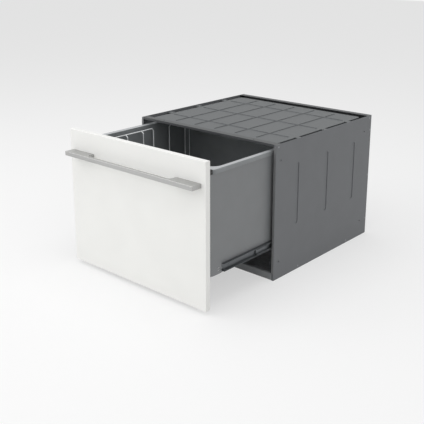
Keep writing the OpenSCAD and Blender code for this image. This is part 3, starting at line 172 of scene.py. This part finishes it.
def brushed_aluminium():
    """Extruded aluminium, brushed along its length and anodised: long fine streaks."""
    material, tree, shader, place = new_material("brushed_aluminium", 0.36, metallic=1.0)
    # Real brush lines are finer than 0.5 mm: these are as coarse as they need to be to show
    streaks = noise(tree, place, 0.5, 3, stretch=(120, 1, 1))
    bands = noise(tree, place, 3.0, 1, stretch=(60, 1, 1))
    mixed = add(tree, "ShaderNodeMath", {0: streaks.outputs["Fac"], 1: bands.outputs["Fac"]}, operation="ADD")
    half = add(tree, "ShaderNodeMath", {0: mixed.outputs[0], 1: 0.5}, operation="MULTIPLY")
    paint(tree, shader, half.outputs[0], "#acacab", "#c0c0bf", 0.28, 0.40)
    bump(tree, shader, streaks.outputs["Fac"], 0.01)
    return material


def powder_coat(name, dark, light, roughness):
    """Baked polyester powder on sheet steel: an even colour with a fine pebbled skin."""
    material, tree, shader, place = new_material(name, roughness)
    cloud = noise(tree, place, 60, 2)
    pebbles = noise(tree, place, 0.9, 2)
    paint(tree, shader, cloud.outputs["Fac"], dark, light, roughness - 0.02, roughness + 0.02)
    bump(tree, shader, pebbles.outputs["Fac"], 0.02)
    return material


# Size of a zinc crystal in millimetres
CRYSTAL_SIZE = 9


def galvanised(name, dark, light):
    """Hot-dip galvanised sheet: zinc crystals nearly a centimetre across, each its own grey."""
    material, tree, shader, place = new_material(name, 0.45, metallic=0.85)
    warp = noise(tree, place, 6, 2)
    shifted = add(tree, "ShaderNodeVectorMath", {0: warp.outputs["Color"], 1: (5, 5, 5), 2: place},
                  operation="MULTIPLY_ADD")
    crystals = add(tree, "ShaderNodeTexVoronoi", {"Vector": shifted.outputs[0], "Scale": 1 / CRYSTAL_SIZE})
    grey = add(tree, "ShaderNodeSeparateColor", {"Color": crystals.outputs["Color"]})
    ramp = add(tree, "ShaderNodeValToRGB", {"Fac": grey.outputs[0]})
    ramp.color_ramp.elements[0].color = linear(dark)
    ramp.color_ramp.elements[1].color = linear(light)
    tree.links.new(ramp.outputs["Color"], shader.inputs["Base Color"])
    spread = {"Value": grey.outputs[1], "To Min": 0.42, "To Max": 0.52}
    tree.links.new(add(tree, "ShaderNodeMapRange", spread).outputs["Result"], shader.inputs["Roughness"])
    return material


def rolled_zinc(name, dark, light, along):
    """Zinc-plated steel strip rolled to a profile: dull streaks along the roll direction."""
    material, tree, shader, place = new_material(name, 0.4, metallic=0.95)
    stretch = tuple(80 if axis == along else 1 for axis in "XYZ")
    # Real roll marks are finer than 0.8 mm: these are as coarse as they need to be to show
    streaks = noise(tree, place, 0.8, 2, stretch=stretch)
    paint(tree, shader, streaks.outputs["Fac"], dark, light, 0.32, 0.5)
    bump(tree, shader, streaks.outputs["Fac"], 0.008)
    return material


def moulded(name, dark, light, roughness, grain, depth):
    """Injection-moulded plastic: an even colour, with the eroded grain of its mould."""
    material, tree, shader, place = new_material(name, roughness)
    # Real mould grain is a few tenths of a millimetre: here it is as coarse as it needs to be to show
    cloud = noise(tree, place, 45, 2)
    pits = noise(tree, place, grain, 2)
    paint(tree, shader, cloud.outputs["Fac"], dark, light, roughness - 0.03, roughness + 0.05)
    bump(tree, shader, pits.outputs["Fac"], depth)
    return material


def rim_highlight_mask(tree, place):
    """1 on the raised top of the tub rim inside its lip, where the lid's seal rests, and 0 elsewhere: where a
    paler grey is painted as a highlight.
    """
    from_centre = add(tree, "ShaderNodeVectorMath", {0: place, 1: RIM_CENTRE}, operation="SUBTRACT")
    folded = add(tree, "ShaderNodeVectorMath", {0: from_centre.outputs[0]}, operation="ABSOLUTE")
    beyond = add(tree, "ShaderNodeVectorMath", {0: folded.outputs[0], 1: RIM_STRAIGHT}, operation="SUBTRACT")
    outside = add(tree, "ShaderNodeVectorMath", {0: beyond.outputs[0], 1: (0, 0, 0)}, operation="MAXIMUM")
    reach = add(tree, "ShaderNodeVectorMath", {0: outside.outputs[0]}, operation="LENGTH")
    inside_lip = add(tree, "ShaderNodeMath", {0: reach.outputs["Value"], 1: RIM_CORNER_R - LIP_W},
                     operation="LESS_THAN")
    height = add(tree, "ShaderNodeSeparateXYZ", {"Vector": place}).outputs["Z"]
    on_top = add(tree, "ShaderNodeMath", {0: height, 1: LAND_Z}, operation="GREATER_THAN")
    both = add(tree, "ShaderNodeMath", {0: on_top.outputs[0], 1: inside_lip.outputs[0]}, operation="MULTIPLY")
    return both.outputs[0]


def tub_moulding():
    """Filled polypropylene: mid grey with a fine grain; the land for the lid's seal is painted paler, a
    painted highlight for light on the rim's top.
    """
    material, tree, shader, place = new_material("tub_polypropylene", 0.36)
    cloud = noise(tree, place, 45, 2)
    pits = noise(tree, place, 1.3, 2)
    body = blend_colours(tree, cloud.outputs["Fac"], "#7f8284", "#878a8c")
    # Painted highlight: the seal's land gets a paler grey, standing for light falling on the rim's top
    land_highlight = blend_colours(tree, cloud.outputs["Fac"], "#a7aaac", "#b0b3b5")
    mixed = add(tree, "ShaderNodeMix", {0: rim_highlight_mask(tree, place), 6: body, 7: land_highlight}, data_type="RGBA")
    tree.links.new(mixed.outputs[2], shader.inputs["Base Color"])
    tree.links.new(vary(tree, cloud.outputs["Fac"], 0.33, 0.41), shader.inputs["Roughness"])
    bump(tree, shader, pits.outputs["Fac"], 0.02)
    return material


def die_cast():
    """Die-cast aluminium: matt, faintly cloudy, with a sandy skin."""
    material, tree, shader, place = new_material("die_cast", 0.55, metallic=0.9)
    cloud = noise(tree, place, 25, 3)
    sand = noise(tree, place, 0.7, 2)
    paint(tree, shader, cloud.outputs["Fac"], "#7d7f81", "#949698", 0.48, 0.62)
    bump(tree, shader, sand.outputs["Fac"], 0.03)
    return material


def rubber_seal():
    """Moulded EPDM rubber: near black, dull, with a faint bloom."""
    material, tree, shader, place = new_material("epdm_rubber", 0.75)
    bloom = noise(tree, place, 18, 3)
    grain = noise(tree, place, 1.2, 1)
    paint(tree, shader, bloom.outputs["Fac"], "#232426", "#343537", 0.68, 0.82)
    bump(tree, shader, grain.outputs["Fac"], 0.02)
    return material


def smoked_lens():
    """Clear acrylic with a grey tint over the indicator lights."""
    material, tree, shader, place = new_material("smoked_acrylic", 0.12, ior=1.49)
    tint = noise(tree, place, 20, 1)
    colour = blend_colours(tree, tint.outputs["Fac"], "#15181a", "#1c1f22")
    tree.links.new(colour, shader.inputs["Base Color"])
    shader.inputs["Coat Weight"].default_value = 0.6
    shader.inputs["Coat Roughness"].default_value = 0.05
    return material


def solder_mask():
    """Green solder mask over copper tracks 2 mm apart."""
    material, tree, shader, place = new_material("solder_mask", 0.3)
    tracks = add(tree, "ShaderNodeTexWave", {"Vector": place, "Scale": 0.16, "Distortion": 1.2},
                 bands_direction="Y")
    colour = blend_colours(tree, tracks.outputs["Fac"], "#1f4a2e", "#2f6b42")
    tree.links.new(colour, shader.inputs["Base Color"])
    bump(tree, shader, tracks.outputs["Fac"], 0.03)
    return material


finishes = {
    "chassis_steel": powder_coat("chassis_powder", "#686a6d", "#6c6e71", 0.5),
    "galvanised_steel": galvanised("galvanised_sheet", "#a5a7a9", "#b7b9bb"),
    "brace_steel": powder_coat("brace_powder", "#3e4042", "#47494b", 0.5),
    "trim_plastic": moulded("trim_pvc", "#6a6b6d", "#727375", 0.5, 1.2, 0.02),
    "screw_steel": rolled_zinc("zinc_screw", "#8d8f92", "#a9abad", "X"),
    "guide_plastic": moulded("acetal", "#c4c5c5", "#cfd0d0", 0.42, 1.5, 0.015),
    "runner_steel": rolled_zinc("zinc_strip", "#5f6264", "#74777a", "Y"),
    "cage_steel": rolled_zinc("pressed_cage", "#a9abad", "#c2c4c6", "Y"),
    "valve_plastic": moulded("white_nylon", "#e2e2dc", "#ebebe6", 0.35, 2.0, 0.01),
    "black_plastic": moulded("black_abs", "#0f1011", "#161718", 0.38, 0.9, 0.02),
    "lid_plastic": moulded("lid_polypropylene", "#4f5254", "#5a5d5f", 0.5, 1.1, 0.03),
    "seal_rubber": rubber_seal(),
    "tub_plastic": tub_moulding(),
    "skin_steel": powder_coat("skin_powder", "#797b7d", "#7c7e80", 0.42),
    "inner_sheet": galvanised("zinc_sheet", "#abadaf", "#bbbdbf"),
    "panel_lacquer": white_lacquer(),
    "handle_metal": brushed_aluminium(),
    "fascia_plastic": moulded("fascia_abs", "#36383a", "#3f4143", 0.4, 1.0, 0.02),
    "board_green": solder_mask(),
    "lens_plastic": smoked_lens(),
    "button_plastic": moulded("painted_abs", "#cfd0d1", "#dadbdc", 0.28, 1.5, 0.006),
    "motor_metal": die_cast(),
    "filter_plastic": moulded("filter_polypropylene", "#7f8284", "#8a8d8f", 0.5, 1.2, 0.03),
    "spray_plastic": moulded("spray_polypropylene", "#aeb1b3", "#b8bbbd", 0.45, 1.2, 0.02),
    "dispenser_plastic": moulded("dispenser_polypropylene", "#cdcfd1", "#d6d8da", 0.42, 1.2, 0.02),
    "cap_plastic": moulded("cap_polypropylene", "#475c6a", "#526876", 0.45, 1.2, 0.02),
    "rack_nylon": moulded("nylon_coat", "#e4e6e7", "#eceeef", 0.28, 2.5, 0.02),
    "clip_plastic": moulded("clip_nylon", "#6a6e70", "#747779", 0.45, 1.2, 0.02),
    "basket_plastic": moulded("basket_polypropylene", "#94989b", "#9ea2a5", 0.45, 1.2, 0.02),
}
# The rail below the drawer is the chassis steel, painted paler as painted light where the drawer shades it
painted_light_finishes = {"base_front_rail": powder_coat("rail_powder_painted_light", "#8a8c8e", "#939597", 0.5)}
for name, part in nodes.items():
    part.data.materials.clear()
    part.data.materials.append(painted_light_finishes.get(name, finishes[slot_of[name]]))


# ------------------------------------------------------------------ softened edges
# Edges sharper than the first angle are rounded, and then all up to the second are shaded smooth
SHARP_ANGLE = 30
SMOOTH_ANGLE = 35
ROUNDING_FACETS = 2
# Points closer than this are one, and faces flatter to each other than this angle are one
MERGE_GAP = 0.01
FLAT_ANGLE = 0.5


def softened(name, radius):
    """A copy of a CAD node with its sharp edges rounded, which stands for the node."""
    bpy.ops.object.select_all(action="DESELECT")
    piece = nodes[name].copy()
    piece.data = nodes[name].data.copy()
    piece.name = name + "_soft"
    piece.parent = None
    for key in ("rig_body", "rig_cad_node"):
        if key in piece:
            del piece[key]
    bpy.context.scene.collection.objects.link(piece)
    bpy.context.view_layer.objects.active = piece
    piece.select_set(True)
    bpy.ops.object.mode_set(mode="EDIT")
    bpy.ops.mesh.select_all(action="SELECT")
    bpy.ops.mesh.remove_doubles(threshold=MERGE_GAP * MM)
    bpy.ops.mesh.dissolve_limited(angle_limit=math.radians(FLAT_ANGLE))
    bpy.ops.object.mode_set(mode="OBJECT")
    rounding = piece.modifiers.new("rounding", "BEVEL")
    rounding.width = radius * MM
    rounding.segments = ROUNDING_FACETS
    rounding.limit_method = "ANGLE"
    rounding.angle_limit = math.radians(SHARP_ANGLE)
    rounding.use_clamp_overlap = False
    bpy.ops.object.modifier_apply(modifier="rounding")
    bpy.ops.object.shade_smooth_by_angle(angle=math.radians(SMOOTH_ANGLE))
    flatness = piece.modifiers.new("flatness", "WEIGHTED_NORMAL")
    flatness.mode = "FACE_AREA"
    flatness.keep_sharp = True
    bpy.ops.object.modifier_apply(modifier="flatness")
    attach(piece, next(b for b, held in frame["record"]["behaviour"]["bodies"].items() if name in held))
    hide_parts(name)


# Radius of each node's moulded, cast or broken edges, in millimetres
edge_radii = {
    "front_panel": 0.7, "handle": 0.5, "end_caps": 0.5, "control_fascia": 0.5,
    "button_power": 0.35, "button_program": 0.35, "button_start": 0.35,
    "dispenser_body": 0.5, "dispenser_lid": 0.6, "rinse_cap": 0.6,
    "spray_arm": 1.0, "drain_filter": 0.5, "filter_plate": 0.4, "cutlery_basket": 0.5,
    "wash_motor": 1.2, "lid": 0.7, "lid_seal": 1.4, "lid_guides": 0.8,
    "lid_actuator_left": 1.0, "lid_actuator_right": 1.0,
    "inlet_valve": 0.5, "drain_outlet": 0.5, "cable_gland": 0.4,
    "base_front_rail": 0.3, "top_brace_front": 0.3, "tub": 0.5,
}
for name, radius in edge_radii.items():
    softened(name, radius)


# ------------------------------------------------------------------ stage
def aim(thing, target):
    """Turns a lamp to face a point."""
    thing.rotation_euler = (Vector(target) - thing.location).to_track_quat("-Z", "Y").to_euler()


def backdrop_colour(tree, seen, lit):
    """A shader that is seen as one colour directly and in reflections, and lights as another."""
    path = add(tree, "ShaderNodeLightPath")
    direct = add(tree, "ShaderNodeMath", {0: path.outputs["Is Camera Ray"], 1: path.outputs["Is Glossy Ray"]},
                 operation="MAXIMUM")
    either = add(tree, "ShaderNodeMath", {0: direct.outputs[0], 1: path.outputs["Is Transmission Ray"]},
                 operation="MAXIMUM")
    return add(tree, "ShaderNodeMixShader", {0: either.outputs[0], 1: lit, 2: seen}).outputs[0]


# Seen directly, the floor is mostly a pale glow, and the rest of it shows the shadow
FLOOR_GLOW = 0.52
FLOOR_SEEN = 0.42
FLOOR_SIZE = 24
FLOOR_DROP = 0.6 * MM
bpy.ops.mesh.primitive_plane_add(size=FLOOR_SIZE, location=(0, 0, -FLOOR_DROP))
floor = bpy.context.object
floor.name = "floor"
paper, tree, shader, _ = new_material("studio_floor", 0.85)
shader.inputs["Base Color"].default_value = linear("#efefed")
glow = add(tree, "ShaderNodeEmission", {"Color": linear("#ffffff"), "Strength": FLOOR_GLOW})
dim = add(tree, "ShaderNodeBsdfDiffuse", {"Color": (FLOOR_SEEN, FLOOR_SEEN, FLOOR_SEEN, 1)})
seen_floor = add(tree, "ShaderNodeAddShader", {0: glow.outputs[0], 1: dim.outputs[0]})
surface = backdrop_colour(tree, seen_floor.outputs[0], shader.outputs[0])
tree.links.new(surface, tree.nodes["Material Output"].inputs["Surface"])
floor.data.materials.append(paper)

# Strength of the light from all around
ROOM_LIGHT = 0.58
world = bpy.context.scene.world or bpy.data.worlds.new("studio")
bpy.context.scene.world = world
world.use_nodes = True
tree = world.node_tree
tree.nodes.clear()
soft_light = add(tree, "ShaderNodeBackground", {"Color": linear("#ffffff"), "Strength": ROOM_LIGHT})
seen_sky = add(tree, "ShaderNodeBackground", {"Color": linear("#f4f4f3"), "Strength": 1.0})
sky = backdrop_colour(tree, seen_sky.outputs[0], soft_light.outputs[0])
add(tree, "ShaderNodeOutputWorld", {"Surface": sky})

# Each soft box's place, the point it faces, its side in metres and its power in watts
LAMPS = {
    "key": ((-1.8, -4.2, 2.2), (0, -0.3, 0.2), 4.0, 56),
    "fill": ((3.0, -1.6, 1.8), (0, -0.2, 0.2), 2.6, 10),
    "top": ((0.0, -0.6, 3.2), (0, -0.3, 0.2), 3.0, 34),
    "edge": ((-2.2, -1.8, 2.45), (0, -0.62, 0.4), 1.2, 9),
}
for name, (place, target, size, power) in LAMPS.items():
    lamp = bpy.data.lights.new(name, "AREA")
    lamp.size = size
    lamp.energy = power
    holder = bpy.data.objects.new(name, lamp)
    holder.location = place
    bpy.context.scene.collection.objects.link(holder)
    aim(holder, target)


# ------------------------------------------------------------------ camera
# The image's side and the focal length in pixels, the camera's place, its tilt down and turn in degrees,
# and the shifts of its lens as shares of the image's side
IMAGE = 424
FOCAL_PIXELS = 744.1
CAMERA_PLACE = (1.6152, -2.0669, 1.0391)
CAMERA_TILT = 15.755
CAMERA_TURN = 41.546
LENS_SHIFT_X = -0.0011
LENS_SHIFT_Y = -0.13
camera = bpy.data.cameras.new("camera")
camera.sensor_width = 36
camera.lens = FOCAL_PIXELS * camera.sensor_width / IMAGE
camera.shift_x = LENS_SHIFT_X
camera.shift_y = LENS_SHIFT_Y
view = bpy.data.objects.new("camera", camera)
view.location = CAMERA_PLACE
view.rotation_euler = (math.radians(90 - CAMERA_TILT), 0, math.radians(CAMERA_TURN))
bpy.context.scene.collection.objects.link(view)
bpy.context.scene.camera = view
bpy.context.scene.view_settings.view_transform = "Standard"
